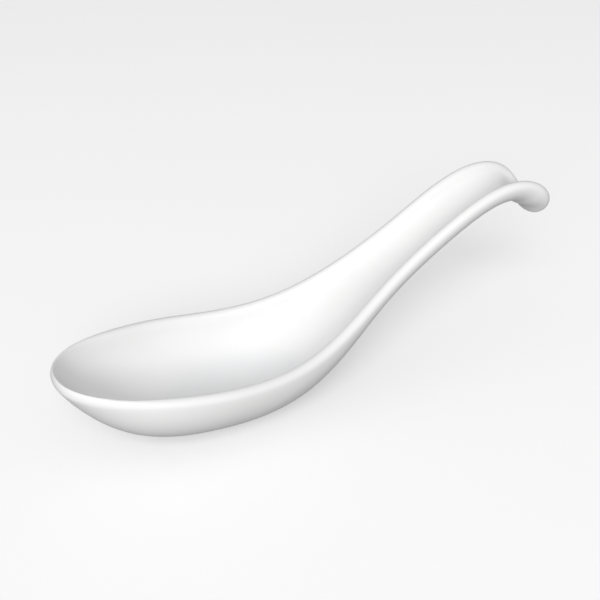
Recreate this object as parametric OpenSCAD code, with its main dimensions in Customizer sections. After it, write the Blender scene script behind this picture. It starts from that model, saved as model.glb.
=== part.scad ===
// Deep soup spoon of glazed porcelain, of the Chinese kind.
// The bowl, the neck, the trough of the handle and the hook at its end are one fired shell, with a
// round lip and a wall that thins a little towards the handle. A coat of glaze covers all of it but
// the flat foot, which is left bare and carries the spoon.
// The shell is drawn from its rim. The rim line lies in the plane of symmetry, midway between the
// two sides, and runs from the tip of the bowl to the end of the hook. Each station on it has a half
// width, a depth and a section. These give the middle surface of the wall, and the two skins lie half
// a wall to each side of it.
// The origin is the middle of the foot, on the table. +X points to the handle and +Z points up.

/* [Rim line] */
// Length of the rim line, from the tip of the bowl to the end of the hook
rim_length = 150; // [142:1:165]
// Angle at which the rim falls from the tip, in degrees
bowl_slope = 7; // [5:0.5:9]
// Distance along the rim line from the tip to where the neck starts to rise
neck_start = 32; // [29:1:35]
// Length over which the rim turns up at the neck
neck_length = 57; // [52:1:62]
// Angle through which the rim turns up at the neck, in degrees
neck_turn = 36.5; // [33:0.5:40]
// Length of the end of the handle that curls over
hook_length = 54.5; // [50:0.5:58]
// Angle through which the hook turns down, in degrees
hook_turn = 134; // [120:1:140]
// How late along its length the hook turns down, as a power
hook_power = 3.6; // [3.2:0.1:4]

/* [Bowl] */
// Width of the bowl over its lips
bowl_width = 44; // [40:0.5:48]
// Depth inside the bowl, from the top of the lip to the floor
bowl_depth = 15.3; // [13:0.1:17.5]
// Length over which the outline of the bowl rounds to its tip
tip_length = 38; // [34:1:42]
// Fullness of that outline, where 2 is an ellipse
tip_fullness = 2.3; // [2:0.1:2.6]
// Length over which the floor comes down from the tip
floor_length = 33; // [29:1:37]
// Fullness of the floor there, where 2 is a parabola
floor_fullness = 2.7; // [2.3:0.1:3]
// Distance from the tip to where the outline starts to narrow to the handle
taper_start = 26; // [22:1:30]
// Length over which the outline narrows
taper_length = 84.5; // [78:0.5:92]
// Distance from the tip to where the floor starts to rise to the handle
rise_start = 40; // [37:1:43]
// Length over which the floor rises
rise_length = 52; // [48:1:56]

/* [Handle] */
// Width of the handle over its lips
handle_width = 19.5; // [17:0.5:22]
// Depth of the trough along the handle
handle_depth = 4.5; // [3.6:0.1:5.4]
// Length over which the end of the hook rounds off
end_length = 9.5; // [8:0.5:11]

/* [Wall] */
// Thickness of the wall of the bowl, with its glaze on both sides
bowl_wall = 3.6; // [3:0.1:4.2]
// Thickness of the wall of the handle, with its glaze on both sides
handle_wall = 3.2; // [2.8:0.1:3.8]
// Thickness of the glaze
glaze_thickness = 0.25; // [0.15:0.05:0.35]

/* [Foot] */
// Distance along the rim line from the tip to the middle of the foot
foot_station = 45; // [42:0.5:48]
// Length of the foot
foot_length = 32; // [28:1:36]
// Width of the foot
foot_width = 12; // [9:0.5:15]
// Height of the foot below the lowest point of the shell
foot_height = 0.4; // [0.3:0.1:0.8]
// Width of the sloping side of the foot
foot_side = 1; // [0.6:0.1:1.4]

/* [Hidden] */

// Share by which a section is a parabola, where 0 is half an ellipse with upright walls
plain_section_share = 0.1;
// Distance from the tip over which the section turns into that parabola
tip_section_length = 20;
// How closely the stations crowd at both ends of the rim line
crowding_share = 0.88;
// Places for normals lie this far inside the rim, where the surface is still smooth
inside_share = 0.9995;
// Sections with a larger share than this are spaced as a parabola
flattest_share = 0.98;

// Counts of the net: stations round the rim, rows from the middle to the rim, and steps of the lip
stations = 96;
rows = 8;
lip_steps = 6;
// Stations at each end whose rows fan out from one point
tip_fan = 12;
end_fan = 7;
// Steps of the edge of the foot between two columns of the net
foot_steps = 4;
// Steps in which the rim line is laid out
line_steps = 400;
// Small distance over which slopes are measured
probe = handle_wall / 200;

half = stations / 2;
line_step = rim_length / line_steps;
hook_start = rim_length - hook_length;
bowl_half_width = (bowl_width - bowl_wall) / 2;
handle_half_width = (handle_width - handle_wall) / 2;

function clamp(x, low, high) = min(max(x, low), high);
function mix(a, b, share) = a + (b - a) * share;
function unit(v) = v / norm(v);
// Rises from 0 to 1, level and unbent at both ends
function ease(x) = let (u = clamp(x, 0, 1)) u * u * u * (u * (6 * u - 15) + 10);

// Slope of the rim line at a distance from the tip
function rim_angle(s) =
    let (u = max(0, (s - hook_start) / hook_length))
    neck_turn * ease((s - neck_start) / neck_length) - bowl_slope - hook_turn * pow(u, hook_power);

// Points of the rim line, as X and Z from the tip
rim_line = [
    for (i = 0, p = [0, 0]; i <= line_steps;
        a = rim_angle((i + 0.5) * line_step), p = p + line_step * [cos(a), sin(a)], i = i + 1) p
];
function rim_point(s) =
    let (u = s / line_step, i = clamp(floor(u), 0, line_steps - 1))
    mix(rim_line[i], rim_line[i + 1], u - i);

// How far a station lies inside the rounding at the tip and at the end, from 0 to 1
function tip_part(s, reach) = clamp(1 - s / reach, 0, 1);
function end_part(s) = clamp(1 - (rim_length - s) / end_length, 0, 1);

// How far a station has gone over from the bowl to the handle, from 0 to 1
function taper(s) = ease((s - taper_start) / taper_length);

function half_width(s) =
    mix(bowl_half_width, handle_half_width, taper(s))
    * sqrt(1 - pow(tip_part(s, tip_length), tip_fullness))
    * sqrt(1 - pow(end_part(s), 2));

function depth(s) =
    mix(bowl_depth, handle_depth, ease((s - rise_start) / rise_length))
    * (1 - pow(tip_part(s, floor_length), floor_fullness))
    * (1 - pow(end_part(s), 2));

function section_share(s) =
    mix(plain_section_share, 1, pow(max(tip_part(s, tip_section_length), end_part(s)), 2));

function half_wall(s) = mix(bowl_wall, handle_wall, taper(s)) / 2;

// A point of the middle surface: a section is an arc between half an ellipse and a parabola
function middle(s, y) =
    let (
        t = clamp(s, 0, rim_length),
        w = half_width(t),
        v = w > 0 ? clamp(y * y / (w * w), 0, 1) : 1,
        c = section_share(t),
        down = depth(t) * (1 + c) * (1 - v) / (sqrt(1 - v * (1 - c * c)) + c),
        p = rim_point(s),
        a = rim_angle(t)
    )
    [p[0] + sin(a) * down, y, p[1] - cos(a) * down];

// The way out of the inside of the spoon, square to the middle surface
function upward(s, y) =
    unit(cross(middle(s + probe, y) - middle(s - probe, y), middle(s, y + probe) - middle(s, y - probe)));

// Stations round the rim, up one side and back down the other
function along(i) = min(i, stations - i);
function side(i) = i > half ? -1 : 1;
function rim_station(i) =
    let (u = along(i) / half)
    rim_length * (u - crowding_share * sin(360 * u) / (2 * PI));
function core_column(i) = clamp(along(i), tip_fan, half - end_fan);

// Columns that meet the foot, and the root of the foot on each of them
foot_columns = [
    for (i = [tip_fan : half - end_fan]) if (abs(rim_station(i) - foot_station) <= foot_length / 2) i
];
foot_first = foot_columns[0];
foot_last = foot_columns[len(foot_columns) - 1];
function meets_foot(i) = along(i) >= foot_first && along(i) <= foot_last;

// The edge of the foot is an oval loop that starts at its end near the tip
foot_count = 2 * (foot_last - foot_first) * foot_steps;
function foot_number(i) =
    let (up = (along(i) - foot_first) * foot_steps)
    side(i) > 0 ? up : (foot_count - up) % foot_count;
function foot_edge(j, inset) =
    let (turn = 360 * j / foot_count)
    [foot_station - (foot_length / 2 - inset) * cos(turn), (foot_width / 2 - inset) * sin(turn)];

// Where a column leaves the middle of the inner and of the outer skin, as station and half width
function inner_core(i) = [rim_station(core_column(i)), 0];
function outer_core(i) = meets_foot(i) ? foot_edge(foot_number(i), 0) : inner_core(i);
function rim_place(i) = let (s = rim_station(i)) [s, side(i) * half_width(s)];

// Rows crowd towards the rim as steps of the angle of the arc
function row_share(i, k) =
    let (a = acos(min(section_share(rim_station(i)), flattest_share)))
    sin(a * k / rows) / sin(a);

// Each node of the net is its point on the middle surface, the way square to it and half the wall
function net_node(core, i, k) =
    let (
        place = mix(core, rim_place(i), row_share(i, k)),
        smooth = mix(core, rim_place(i), min(row_share(i, k), inside_share))
    )
    [middle(place[0], place[1]), upward(smooth[0], smooth[1]), half_wall(place[0])];
inner_net = [for (k = [0 : rows]) [for (i = [0 : stations - 1]) net_node(inner_core(i), i, k)]];
outer_net = [for (k = [0 : rows]) [for (i = [0 : stations - 1]) net_node(outer_core(i), i, k)]];

// The lip is half round, and it turns about the rim from the inner to the outer skin
rim_net = inner_net[rows];
function rim_outward(i) =
    let (
        ahead = rim_net[(i + 1) % stations][0] - rim_net[(i + stations - 1) % stations][0],
        out = cross(rim_net[i][1], ahead)
    )
    unit(out);

// The surface is laid out from the tip. The origin lies under it, where the foot meets the table.
keel = [for (j = [0 : foot_count / 2])
    let (s = foot_edge(j, 0)[0]) middle(s, 0) - upward(s, 0) * half_wall(s)];
origin = [middle(foot_station, 0)[0], 0, min([for (p = keel) p[2]]) - foot_height];

// All points of the skin that lies under a cover of some thickness, row by row, and last the root
// of the foot
function skin(cover) = concat(
    [for (k = [0 : rows]) for (n = inner_net[k]) n[0] + n[1] * (n[2] - cover) - origin],
    [for (j = [1 : lip_steps - 1]) for (i = [0 : stations - 1])
        let (a = 180 * j / lip_steps, n = rim_net[i])
        n[0] + (n[1] * cos(a) + rim_outward(i) * sin(a)) * (n[2] - cover) - origin],
    [for (k = [rows : -1 : 0]) for (n = outer_net[k]) n[0] - n[1] * (n[2] - cover) - origin],
    [for (j = [0 : foot_count - 1])
        let (e = foot_edge(j, 0))
        middle(e[0], e[1]) - upward(e[0], e[1]) * (half_wall(e[0]) - cover) - origin]
);
skin_rows = 2 * rows + lip_steps + 1;
last_row = skin_rows - 1;
root_start = skin_rows * stations;
skin_points = root_start + foot_count;

// Number of a point. Columns share a point in the middle of the inner skin and of the outer one,
// and the columns that meet the foot end at its root.
function point_number(r, i) =
    let (j = i % stations)
    r == last_row && meets_foot(j) ? root_start + foot_number(j)
    : r * stations + (r == 0 || r == last_row ? core_column(j) : j);

// Two triangles, without those that close up to a line
function patch(a, b, c, d) = [
    if (a != b && b != c && a != c) [a, c, b],
    if (a != c && c != d && a != d) [a, d, c]
];
function turned(faces) = [for (f = faces) [f[0], f[2], f[1]]];

// A cell of the net, and one that ends at the foot, whose lower edge has several steps
function cell(r, i) =
    patch(point_number(r, i), point_number(r, i + 1), point_number(r + 1, i + 1), point_number(r + 1, i));
function foot_cell(i) =
    let (
        a = point_number(last_row - 1, i),
        b = point_number(last_row - 1, i + 1),
        root = [for (q = [0 : foot_steps]) root_start + (foot_number(i) + q) % foot_count],
        turn_over = floor(foot_steps / 2)
    )
    concat(
        [for (q = [0 : foot_steps - 1]) [q < turn_over ? a : b, root[q], root[q + 1]]],
        [[a, root[turn_over], b]]
    );
skin_faces = [
    for (r = [0 : last_row - 1]) for (i = [0 : stations - 1])
        each (r == last_row - 1 && meets_foot(i) && meets_foot(i + 1) ? foot_cell(i) : cell(r, i))
];

// Faces between two loops round the foot, and the flat of the foot
function loop_faces(upper, lower) = [
    for (j = [0 : foot_count - 1])
        let (next = (j + 1) % foot_count)
        each patch(upper + j, upper + next, lower + next, lower + j)
];
foot_points = [
    for (j = [0 : foot_count - 1])
        let (e = foot_edge(j, foot_side), p = middle(e[0], e[1]))
        [p[0] - origin[0], p[1], 0]
];

module porcelain_body()
    color("linen")
    polyhedron(
        points = concat(skin(glaze_thickness), foot_points),
        faces = concat(
            skin_faces,
            loop_faces(root_start, skin_points),
            [[for (j = [foot_count - 1 : -1 : 0]) skin_points + j]]
        )
    );

module glaze()
    color("white")
    polyhedron(
        points = concat(skin(0), skin(glaze_thickness)),
        faces = concat(
            skin_faces,
            turned([for (f = skin_faces) f + [skin_points, skin_points, skin_points]]),
            loop_faces(root_start, skin_points + root_start)
        )
    );

porcelain_body();
glaze();
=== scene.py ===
# %% [markdown]
# A glazed porcelain soup spoon, in the frame of its CAD model.
# The CAD model holds the form: one fired shell with a bowl, a neck, a trough for the finger and a
# hook, and a thin coat of glaze on it. This script gives that form its surfaces. It makes the lip
# finer at the tip, rounds both pieces off and adds the roll of glaze round the foot. Then it builds
# the two finishes, the table, the room and the softbox. The camera comes first.

# %% Load the frame
import math

import bpy
from mathutils import Matrix, Vector
from mathutils.kdtree import KDTree


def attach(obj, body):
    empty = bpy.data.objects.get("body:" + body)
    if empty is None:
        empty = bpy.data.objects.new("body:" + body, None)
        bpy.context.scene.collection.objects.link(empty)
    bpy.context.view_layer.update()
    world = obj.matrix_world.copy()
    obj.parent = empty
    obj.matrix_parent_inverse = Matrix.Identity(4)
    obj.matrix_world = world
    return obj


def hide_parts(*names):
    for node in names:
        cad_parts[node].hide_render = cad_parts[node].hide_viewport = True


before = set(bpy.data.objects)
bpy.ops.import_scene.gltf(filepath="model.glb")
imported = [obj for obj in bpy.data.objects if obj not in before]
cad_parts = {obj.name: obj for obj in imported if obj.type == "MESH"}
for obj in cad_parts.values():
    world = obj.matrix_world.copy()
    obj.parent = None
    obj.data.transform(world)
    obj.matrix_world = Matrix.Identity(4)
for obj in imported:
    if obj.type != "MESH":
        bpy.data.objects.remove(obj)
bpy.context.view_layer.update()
MM = 0.001

# %% [markdown]
# The camera stands close to the spoon, in front of it and to its left, so the bowl looks large and
# the handle runs away to the right. Azimuth 0 looks along +Y. The axis of the lens goes through the
# middle of the picture, so the lens needs no shift. A camera could be turned by three angles, but
# its matrix is clearer: its columns are the ways to its right, up and back, and they are worked out
# from the side that it looks from.

# %% Camera
def way_to(azimuth, elevation):
    """The way from the spoon to something that stands at these angles, in degrees."""
    a, e = math.radians(azimuth), math.radians(elevation)
    return Vector((math.sin(a) * math.cos(e), -math.cos(a) * math.cos(e), math.sin(e)))


CAMERA_AZIMUTH, CAMERA_ELEVATION, CAMERA_ROLL = -27.6, 28.9, -1.86
DISTANCE = 293.6 * MM
AIM = Vector((20.5, 0, 26.5)) * MM
SENSOR, LENS = 36, 68.9
SEEN_FROM, SEEN_TO = 10 * MM, 100

back = way_to(CAMERA_AZIMUTH, CAMERA_ELEVATION)
level = Vector((math.cos(math.radians(CAMERA_AZIMUTH)), math.sin(math.radians(CAMERA_AZIMUTH)), 0))
upright = back.cross(level)
roll = math.radians(CAMERA_ROLL)
right = level * math.cos(roll) + upright * math.sin(roll)
up = upright * math.cos(roll) - level * math.sin(roll)

camera = bpy.data.objects.new("camera", bpy.data.cameras.new("camera"))
bpy.context.scene.collection.objects.link(camera)
stand = Matrix.Translation(AIM + back * DISTANCE)
camera.matrix_world = stand @ Matrix((right, up, back)).transposed().to_4x4()
camera.data.sensor_width = SENSOR
camera.data.lens = LENS
camera.data.clip_start = SEEN_FROM
camera.data.clip_end = SEEN_TO
bpy.context.scene.camera = camera
print("camera stands at, in mm:", [round(v / MM) for v in camera.matrix_world.translation])

# %% [markdown]
# Every operator works on what is selected, so one helper leaves a single object selected and active,
# and another opens an object in edit mode with nothing selected, or with chosen faces. Faces are
# chosen by number, because a switch of modes builds the mesh anew and an old face is then gone.

# %% Selecting
def only(piece):
    bpy.ops.object.select_all(action="DESELECT")
    piece.select_set(True)
    bpy.context.view_layer.objects.active = piece


def edit(piece, kind, chosen=()):
    only(piece)
    bpy.ops.object.mode_set(mode="EDIT")
    bpy.ops.mesh.select_mode(type=kind)
    bpy.ops.mesh.select_all(action="DESELECT")
    if chosen:
        bpy.ops.object.mode_set(mode="OBJECT")
        for number in chosen:
            piece.data.polygons[number].select = True
        bpy.ops.object.mode_set(mode="EDIT")


def leave():
    bpy.ops.object.mode_set(mode="OBJECT")


# %% [markdown]
# The CAD pieces come as loose triangles with flat shading, which glaze would show at once. Their
# form is right, so they aren't drawn again: a copy is merged, its triangles are turned back into the
# four-sided faces of the net, and Subdivision Surface will round it. A mesh could be drawn anew from
# curves, but a copy can't drift from the CAD.

# %% Merged copies of the CAD pieces
MERGE = 0.001 * MM
QUAD_ANGLE = math.radians(35)


def merged_copy(node, name):
    piece = bpy.data.objects.new(name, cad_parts[node].data.copy())
    bpy.context.scene.collection.objects.link(piece)
    edit(piece, "VERT")
    bpy.ops.mesh.select_all(action="SELECT")
    bpy.ops.mesh.remove_doubles(threshold=MERGE)
    bpy.ops.mesh.tris_convert_to_quads(face_threshold=QUAD_ANGLE, shape_threshold=math.pi)
    leave()
    corners = [len(f.vertices) for f in piece.data.polygons]
    print(name, "has", corners.count(4), "faces with four sides and", corners.count(3), "with three")
    return piece


coat = merged_copy("glaze", "glaze_coat")
body = merged_copy("porcelain_body", "fired_body")

# %% [markdown]
# The foot was ground flat after the firing. In the copy its flat is a fan of long triangles, which
# are dissolved to one face, so that it stays level when the piece is rounded off.

# %% The ground flat of the foot
FLAT = 0.01 * MM


def on_table(face):
    return all(body.data.vertices[v].co.z < FLAT for v in face.vertices)


edit(body, "FACE", [f.index for f in body.data.polygons if on_table(f)])
bpy.ops.mesh.dissolve_faces()
leave()
flat = [f for f in body.data.polygons if on_table(f)]
print("the flat is", len(flat), "face of", round(sum(f.area for f in flat) / MM**2), "square mm")

# %% [markdown]
# The lip isn't the same all the way round. The tip is what goes to the mouth: there the hollow runs
# on almost to the outline, and the rim is at its finest. The CAD model keeps one round lip, so here
# the inner side of the tip moves outwards. It could be pushed by hand in sculpt mode, but one rule
# for all points keeps it even. First the rule needs a measure of how near a point lies to the rim.
# The rim rises towards the tip, so its height is taken at two places and goes in a line between them.

# %% The rim near the tip
THIN_FROM, THIN_FULL = -20 * MM, -41 * MM
SLICE = 1.5 * MM


def rim_height(place):
    return max(v.co.z for v in body.data.vertices if abs(v.co.x - place) < SLICE)


rim_from, rim_full = rim_height(THIN_FROM), rim_height(THIN_FULL)
rim_slope = (rim_full - rim_from) / (THIN_FULL - THIN_FROM)
print("the rim is", round(rim_from / MM, 1), "to", round(rim_full / MM, 1), "mm high there")

# %% [markdown]
# A point moves the more, the nearer it is to the tip and to the rim, and the more it faces inwards.
# So the round section of the lip grows narrow, and what faces outwards or down stays where it is.
# Outwards means square to an oval as large as the bowl. The coat is a thin shell with a face on
# either side, so its own normals don't tell inside from outside. Each of its points moves as the
# nearest point of the body does, and it stays about as thick as it was.

# %% A finer lip at the tip
LIP_TAKEN = 2.2 * MM
OVAL_MIDDLE, OVAL_LENGTH, OVAL_WIDTH = -7 * MM, 38 * MM, 22 * MM
DEPTH_FULL, DEPTH_NONE = 3 * MM, 14 * MM
FACING_DOWN = -0.3


def step(value, low, high):
    """Goes smoothly from 0 to 1 as the value goes from low to high."""
    share = min(max((value - low) / (high - low), 0), 1)
    return share * share * (3 - 2 * share)


def lip_move(v):
    """How far this point of the body moves outwards."""
    outward = Vector(((v.co.x - OVAL_MIDDLE) / OVAL_LENGTH**2, v.co.y / OVAL_WIDTH**2, 0)).normalized()
    depth = rim_from + (v.co.x - THIN_FROM) * rim_slope - v.co.z
    share = step(-v.co.x, -THIN_FROM, -THIN_FULL) * (1 - step(depth, DEPTH_FULL, DEPTH_NONE))
    share *= (1 - v.normal.dot(outward)) / 2 * step(v.normal.z, FACING_DOWN, 0)
    return outward * LIP_TAKEN * share


moves = [lip_move(v) for v in body.data.vertices]
tree = KDTree(len(moves))
for v in body.data.vertices:
    tree.insert(v.co, v.index)
tree.balance()
for v in coat.data.vertices:
    v.co += moves[tree.find(v.co)[1]]
for v, move in zip(body.data.vertices, moves):
    v.co += move
print("the inner side moved by up to", round(max(m.length for m in moves) / MM, 2), "mm")

# %% [markdown]
# Now both pieces are rounded off. Where the surface turns by more than 45 degrees, the edges get a
# full crease first, so that they stay crisp: round the foot, where the glaze ends, and along the
# finest part of the lip. Two levels turn the net of the CAD model into a surface that shows no facet
# at this distance, and stay well under the size that one piece may have.

# %% Crisp edges and round surfaces
SHARP = math.radians(45)
LEVELS = 2


def choose_sharp_edges(piece):
    edit(piece, "EDGE")
    bpy.ops.mesh.edges_select_sharp(sharpness=SHARP)


def round_off(piece):
    choose_sharp_edges(piece)
    bpy.ops.transform.edge_crease(value=1)
    leave()
    smooth = piece.modifiers.new("round", "SUBSURF")
    smooth.levels = smooth.render_levels = LEVELS
    bpy.ops.object.modifier_apply(modifier=smooth.name)
    bpy.ops.object.shade_smooth_by_angle(angle=SHARP)
    print(piece.name, "has", len(piece.data.polygons), "faces")


round_off(coat)
round_off(body)

# %% [markdown]
# Glaze doesn't end in a cut. Before the firing it is wiped off the foot, and as it melts, surface
# tension draws its edge up into a small roll. A torus could be bent to the oval of the foot, but the
# line is there already, as a sharp edge of the coat. All sharp edges are copied off the coat and
# parted where they don't touch, and the lowest line is kept, which is the outer one round the foot.

# %% The line where the glaze ends
def lowest(piece):
    return min(v.co.z for v in piece.data.vertices)


choose_sharp_edges(coat)
bpy.ops.mesh.duplicate()
bpy.ops.mesh.separate(type="SELECTED")
leave()
loops = next(o for o in bpy.context.selected_objects if o is not coat)
edit(loops, "VERT")
bpy.ops.mesh.separate(type="LOOSE")
leave()
loops = sorted(bpy.context.selected_objects, key=lowest)
glaze_roll = loops[0]
glaze_roll.name = "glaze_roll"
print("loops found:", len(loops), "and the lowest has", len(glaze_roll.data.vertices), "points")
for spare in loops[1:]:
    bpy.data.objects.remove(spare)

# %% [markdown]
# The kept line becomes a curve, and a bevel gives it a round section, which makes an even bead along
# any line. Back as a mesh, it has its faces turned outwards.

# %% The roll of glaze round the foot
ROLL_RADIUS = 0.28 * MM
ROLL_STEPS = 3

only(glaze_roll)
bpy.ops.object.convert(target="CURVE")
glaze_roll.data.dimensions = "3D"
glaze_roll.data.bevel_depth = ROLL_RADIUS
glaze_roll.data.bevel_resolution = ROLL_STEPS
bpy.ops.object.convert(target="MESH")
edit(glaze_roll, "VERT")
bpy.ops.mesh.select_all(action="SELECT")
bpy.ops.mesh.remove_doubles(threshold=MERGE)
bpy.ops.mesh.normals_make_consistent(inside=False)
leave()
bpy.ops.object.shade_smooth()
print("the roll has", len(glaze_roll.data.polygons), "faces")

# %% [markdown]
# All three pieces ride on the spoon's only body. The coat and the fired body stand for the two CAD
# nodes, and the roll is an extra that lies on them.

# %% Riding on the spoon
for piece in (coat, body, glaze_roll):
    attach(piece, "root")
    print(piece.name, "rides on the spoon")
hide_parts("glaze")
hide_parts("porcelain_body")

# %% [markdown]
# Shader maths reads best as plain expressions. The first class wraps one socket and gives it plus,
# minus, times and the like, each of which adds a Math node. The second hands out such values for
# the outputs of one node.

# %% Values in a shader
class Value:
    """One output of a node, which can be added, multiplied and so on."""

    def __init__(self, finish, socket):
        self.finish = finish
        self.socket = socket

    def math(self, operation, first, second):
        return self.finish.add("ShaderNodeMath", {"operation": operation}, {0: first, 1: second})[0]

    def __add__(self, other):
        return self.math("ADD", self, other)

    def __sub__(self, other):
        return self.math("SUBTRACT", self, other)

    def __rsub__(self, other):
        return self.math("SUBTRACT", other, self)

    def __mul__(self, other):
        return self.math("MULTIPLY", self, other)

    def __truediv__(self, other):
        return self.math("DIVIDE", self, other)

    def __pow__(self, other):
        return self.math("POWER", self, other)

    __radd__ = __add__
    __rmul__ = __mul__

    def rise(self, low, high):
        """Goes smoothly from 0 to 1 as the value goes from low to high."""
        smooth = {"interpolation_type": "SMOOTHSTEP"}
        return self.finish.add("ShaderNodeMapRange", smooth, {0: self, 1: low, 2: high})[0]


class Outputs:
    """The outputs of a node, by name or number."""

    def __init__(self, finish, node):
        self.finish = finish
        self.node = node

    def __getitem__(self, key):
        return Value(self.finish, self.node.outputs[key])


# %% [markdown]
# A finish is a tree of nodes that ends in one surface node. Nodes could be added and linked line by
# line, but one method that takes a node's type, settings and inputs keeps each finish short enough
# to read. The other methods are the few patterns that a spoon needs. On a piece they all read Object
# coordinates, so a pattern keeps its place on the spoon and its size in real millimetres.

# %% The nodes of a finish
class Finish:
    """A material or a room, and the nodes that a finish on a spoon needs."""

    def __init__(self, made, surface="Principled BSDF", place="Object"):
        self.made = made
        made.use_nodes = True
        self.nodes = made.node_tree.nodes
        self.links = made.node_tree.links
        self.surface = self.nodes[surface]
        self.place = self.add("ShaderNodeTexCoord", {}, {})[place]

    def add(self, kind, settings, inputs):
        node = self.nodes.new(kind)
        for key, value in settings.items():
            setattr(node, key, value)
        for key, value in inputs.items():
            self.feed(node.inputs[key], value)
        return Outputs(self, node)

    def feed(self, socket, value):
        if isinstance(value, Value):
            self.links.new(value.socket, socket)
        else:
            socket.default_value = value

    def axes(self):
        parts = self.add("ShaderNodeSeparateXYZ", {}, {0: self.place})
        return parts["X"], parts["Y"], parts["Z"]

    def stretched(self, scale):
        return self.add("ShaderNodeMapping", {}, {"Vector": self.place, "Scale": scale})[0]

    def noise(self, size, detail=2.0, place=None):
        """Clouds of about this size, from 0 to 1."""
        inputs = {"Vector": place or self.place, "Scale": 1 / size, "Detail": detail}
        return self.add("ShaderNodeTexNoise", {}, inputs)["Fac"]

    def dots(self, spacing, radius):
        """One dot in each cell of about this spacing, of which a thin coat meets only a few."""
        cells = self.add("ShaderNodeTexVoronoi", {}, {"Vector": self.place, "Scale": 1 / spacing})
        reach = radius / spacing
        return 1 - cells["Distance"].rise(reach / 2, reach)

    def mix(self, share, first, second):
        inputs = {"Factor": share, 6: first, 7: second}
        return self.add("ShaderNodeMix", {"data_type": "RGBA"}, inputs)[2]

    def bump(self, height, depth, under=None):
        """Relief of this depth, on top of the relief under it."""
        inputs = {"Height": height, "Strength": 1, "Distance": depth}
        if under is not None:
            inputs["Normal"] = under
        return self.add("ShaderNodeBump", {}, inputs)["Normal"]

    def set(self, **values):
        for key, value in values.items():
            self.feed(self.surface.inputs[key.replace("_", " ")], value)
        return self.made


# %% [markdown]
# Everything here is white or close to it, so a colour is a grey that leans a little to the warm or
# the cool side. That lean tells bare clay from glaze, and thick glaze from thin. The other helper
# puts a material on a piece as its only one.

# %% Greys and dressing
def grey(level, warmth=0.0):
    """A grey that is warm above 0 and cool below, as a colour with its alpha."""
    return (level * (1 + warmth), level, level * (1 - warmth), 1)


def dress(piece, material):
    piece.data.materials.clear()
    piece.data.materials.append(material)
    print(piece.name, "wears", material.name, "with", len(material.node_tree.nodes), "nodes")


# %% [markdown]
# Glaze runs before it sets, and pools in the bottom of the bowl. There it is a little thicker and
# cooler, and there spoons and chopsticks dull it. The place could be painted on the mesh, but a flat
# oval ball in the bottom of the bowl gives it as well, in sizes that fit the hollow. The ball ends
# above the underside, which stays clear of it.

# %% Where the glaze pools
POOL_MIDDLE = (0.0, 0.0, 9 * MM)
POOL_REACH = (20 * MM, 12 * MM, 5.6 * MM)
POOL_EDGE = (0.85, 1.15)


def pool_of(finish):
    """1 in the bottom of the bowl and 0 elsewhere, the underside too, which lies a wall deeper."""
    parts = [
        ((along - middle) / reach) ** 2
        for along, middle, reach in zip(finish.axes(), POOL_MIDDLE, POOL_REACH)
    ]
    return 1 - (parts[0] + parts[1] + parts[2]).rise(*POOL_EDGE)


print("the pool reaches, in mm:", [round(reach / MM, 1) for reach in POOL_REACH])

# %% [markdown]
# White glaze is a skin of glass melted over the white body. It looks like a milky ground under a
# clear gloss, so the shader is a half-gloss with a thin clear coat on top. One even white would look
# like plastic. Up close the coat lies in slow waves and has a fine skin like that of an orange, it
# is scuffed where it pools, and the kiln leaves a pinhole here and there. Each of these is one noise
# in real millimetres.

# %% White glaze
GLAZE_LIGHT = 0.87
GLAZE_DULL, GLAZE_CLEAR = grey(GLAZE_LIGHT - 0.015, 0.003), grey(GLAZE_LIGHT + 0.005)
GLAZE_ROUGH, CLOUD_ROUGH, CLOUD_SIZE = 0.26, 0.06, 26 * MM
COAT_SHARE, COAT_ROUGH = 0.3, 0.12
POOL_COLOUR, POOL_SHARE = grey(GLAZE_LIGHT - 0.03, -0.012), 0.6
PINHOLES_APART, PINHOLE_RADIUS, PINHOLE_DEPTH = 7 * MM, 0.16 * MM, 0.03 * MM
PINHOLE_COLOUR, PINHOLE_SHARE = grey(0.55, 0.04), 0.5
SCUFF_SIZE, SCUFF_DETAIL, SCUFF_STRETCH = 0.5 * MM, 3.0, (0.15, 1, 1)
SCUFF_EDGE, SCUFF_ROUGH = (0.45, 0.7), 0.08
WAVE_SIZE, WAVE_DEPTH = 14 * MM, 0.05 * MM
SKIN_SIZE, SKIN_DEPTH = 2.2 * MM, 0.006 * MM


def glaze_finish():
    finish = Finish(bpy.data.materials.new("white_glaze"))
    cloud = finish.noise(CLOUD_SIZE)
    pool = pool_of(finish)
    pinhole = finish.dots(PINHOLES_APART, PINHOLE_RADIUS)
    scratches = finish.noise(SCUFF_SIZE, SCUFF_DETAIL, finish.stretched(SCUFF_STRETCH))
    scuff = scratches.rise(*SCUFF_EDGE) * pool
    ground = finish.mix(cloud, GLAZE_DULL, GLAZE_CLEAR)
    ground = finish.mix(pool * POOL_SHARE, ground, POOL_COLOUR)
    ground = finish.mix(pinhole * PINHOLE_SHARE, ground, PINHOLE_COLOUR)
    relief = finish.bump(finish.noise(WAVE_SIZE), WAVE_DEPTH)
    relief = finish.bump(finish.noise(SKIN_SIZE), SKIN_DEPTH, relief)
    relief = finish.bump(1 - pinhole, PINHOLE_DEPTH, relief)
    return finish.set(
        Base_Color=ground,
        Roughness=cloud * CLOUD_ROUGH + scuff * SCUFF_ROUGH + GLAZE_ROUGH,
        Coat_Weight=COAT_SHARE,
        Coat_Roughness=COAT_ROUGH,
        Normal=relief,
    )


white_glaze = glaze_finish()
dress(coat, white_glaze)
dress(glaze_roll, white_glaze)

# %% [markdown]
# The foot shows the body itself: fired clay without glaze, matt and a little warm, with a grain that
# can be felt. Its flat was ground smooth and slides over tables, so it is finer, and the open grain
# there has taken up some grey. Its own material could be given to the flat alone, but one material
# that tells the flat by its height has no hard line round it.

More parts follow.
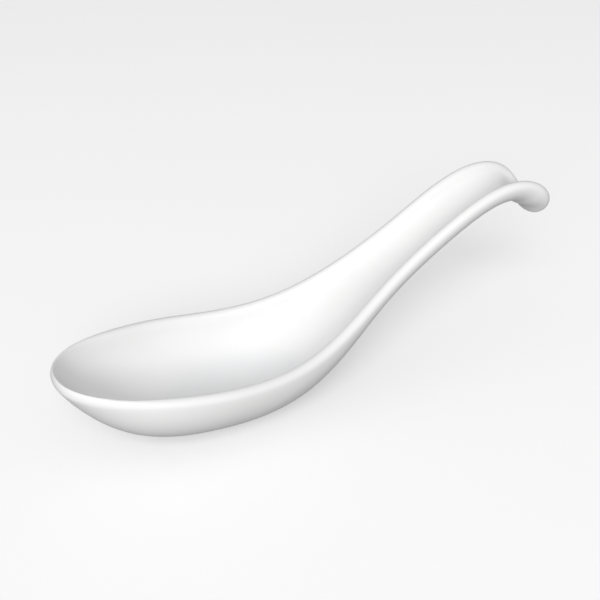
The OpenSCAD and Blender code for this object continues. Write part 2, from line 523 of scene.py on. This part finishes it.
# %% Bare porcelain
GROUND_BELOW, GROUND_GRAIN_LOST = 0.08 * MM, 0.6
CLAY_DARK, CLAY_PALE = grey(0.66, 0.035), grey(0.74, 0.025)
PATCH_SIZE, PATCH_DETAIL = 5 * MM, 3.0
GRAIN_SIZE, GRAIN_DETAIL, GRAIN_DEPTH = 0.35 * MM, 4.0, 0.03 * MM
PORE_COLOUR, PORE_SHARE, PORE_EDGE = grey(0.5, 0.03), 0.25, (0.5, 0.7)
WORN_COLOUR, WORN_SHARE, WORN_EDGE = grey(0.52, 0.01), 0.5, (0.35, 0.75)
CLAY_ROUGH, GRAIN_ROUGH, GROUND_SMOOTHER = 0.66, 0.15, 0.16


def bare_finish():
    finish = Finish(bpy.data.materials.new("bare_porcelain"))
    height = finish.axes()[2]
    ground = 1 - height.rise(GROUND_BELOW, 2 * GROUND_BELOW)
    grain = finish.noise(GRAIN_SIZE, GRAIN_DETAIL)
    patches = finish.noise(PATCH_SIZE, PATCH_DETAIL)
    clay = finish.mix(patches, CLAY_DARK, CLAY_PALE)
    clay = finish.mix(grain.rise(*PORE_EDGE) * PORE_SHARE, clay, PORE_COLOUR)
    clay = finish.mix(ground * patches.rise(*WORN_EDGE) * WORN_SHARE, clay, WORN_COLOUR)
    return finish.set(
        Base_Color=clay,
        Roughness=grain * GRAIN_ROUGH + CLAY_ROUGH - ground * GROUND_SMOOTHER,
        Normal=finish.bump(grain * (1 - ground * GROUND_GRAIN_LOST), GRAIN_DEPTH),
    )


dress(body, bare_finish())

# %% [markdown]
# The table is one plain pale sheet, with just enough cloud in its tone that it looks like a real
# board. It also has a painted glow, a light of its own that is no lamp, and more of it far away,
# where the softbox doesn't reach. It is so large that its edge lies on the horizon. It takes the
# spoon's shadow, but throws no light back and hides none of the room: a sheet this pale would
# flatten the shade under the bowl and the hook, so the underside is lit by the room alone.

# %% Table
TABLE = 60.0
TABLE_LIGHT, TABLE_LIGHT_CHANGE, TABLE_CLOUDS = 0.92, 0.006, 90 * MM
TABLE_ROUGH, TABLE_ROUGH_CHANGE, TABLE_GLOSS = 0.8, 0.1, 0.15
PAINTED_GLOW_NEAR, PAINTED_GLOW_FAR = 0.17, 0.4
PAINTED_GLOW_REACH = (0.4, 2.4)


def table_finish():
    finish = Finish(bpy.data.materials.new("table_white"))
    cloud = finish.noise(TABLE_CLOUDS)
    x, y = finish.axes()[:2]
    # Painted glow: the sheet gives off light of its own, more of it far from the spoon.
    far = ((x**2 + y**2) ** 0.5).rise(*PAINTED_GLOW_REACH)
    dull, bright = grey(TABLE_LIGHT - TABLE_LIGHT_CHANGE), grey(TABLE_LIGHT + TABLE_LIGHT_CHANGE)
    return finish.set(
        Base_Color=finish.mix(cloud, dull, bright),
        Roughness=cloud * TABLE_ROUGH_CHANGE + TABLE_ROUGH,
        Specular_IOR_Level=TABLE_GLOSS,
        Emission_Color=finish.mix(far, grey(PAINTED_GLOW_NEAR), grey(PAINTED_GLOW_FAR)),
        Emission_Strength=1,
    )


bpy.ops.object.select_all(action="DESELECT")
bpy.ops.mesh.primitive_plane_add(size=TABLE, location=(0, 0, 0))
table = bpy.context.active_object
table.name = "table"
table.visible_diffuse = False
table.visible_glossy = False
table.visible_shadow = False
dress(table, table_finish())

# %% [markdown]
# The spoon stands in a pale room, which fills the shadows from all sides. A plain grey world would
# do that too, but a white thing needs something darker to stand out: the room is darker below, past
# the hook and behind the spoon. So the underside and the hook stay in shade, and the gloss draws a
# thin grey line along the outline. What the camera sees of the room itself is as pale as the table.

# %% The room
ROOM_LIGHT = 0.42
ROOM_RISE, ROOM_FALL_RIGHT, ROOM_FALL_BEHIND = 0.08, 0.11, 0.1
ROOM_LOOK = 0.92

room = Finish(bpy.data.worlds.new("room"), "Background", "Generated")
bpy.context.scene.world = room.made
x, y, z = room.axes()
seen = room.add("ShaderNodeLightPath", {}, {})["Is Camera Ray"]
light = z * ROOM_RISE - x * ROOM_FALL_RIGHT - y * ROOM_FALL_BEHIND + ROOM_LIGHT
room.set(Color=(1, 1, 1, 1), Strength=light * (1 - seen) + seen * ROOM_LOOK)
print("the room has", len(room.nodes), "nodes")

# %% [markdown]
# One large softbox near the camera is the only lamp. It faces the near lip and the far wall of the
# bowl, which turn bright, and it is so large that its highlights and its shadow stay soft. A second
# one from above would fill the bowl and flatten it. The Standard view keeps white as white.

# %% The softbox
SOFTBOX_AZIMUTH, SOFTBOX_ELEVATION = -32, 32
SOFTBOX_DISTANCE, SOFTBOX_SIZE, SOFTBOX_POWER = 3.0, 1.6, 64

away = way_to(SOFTBOX_AZIMUTH, SOFTBOX_ELEVATION)
softbox = bpy.data.objects.new("key", bpy.data.lights.new("key", "AREA"))
bpy.context.scene.collection.objects.link(softbox)
softbox.data.shape = "SQUARE"
softbox.data.size = SOFTBOX_SIZE
softbox.data.energy = SOFTBOX_POWER
softbox.location = AIM + away * SOFTBOX_DISTANCE
softbox.rotation_mode = "QUATERNION"
softbox.rotation_quaternion = away.to_track_quat("Z", "Y")
bpy.context.scene.view_settings.view_transform = "Standard"
print("the softbox stands at, in mm:", [round(v / MM) for v in softbox.location])
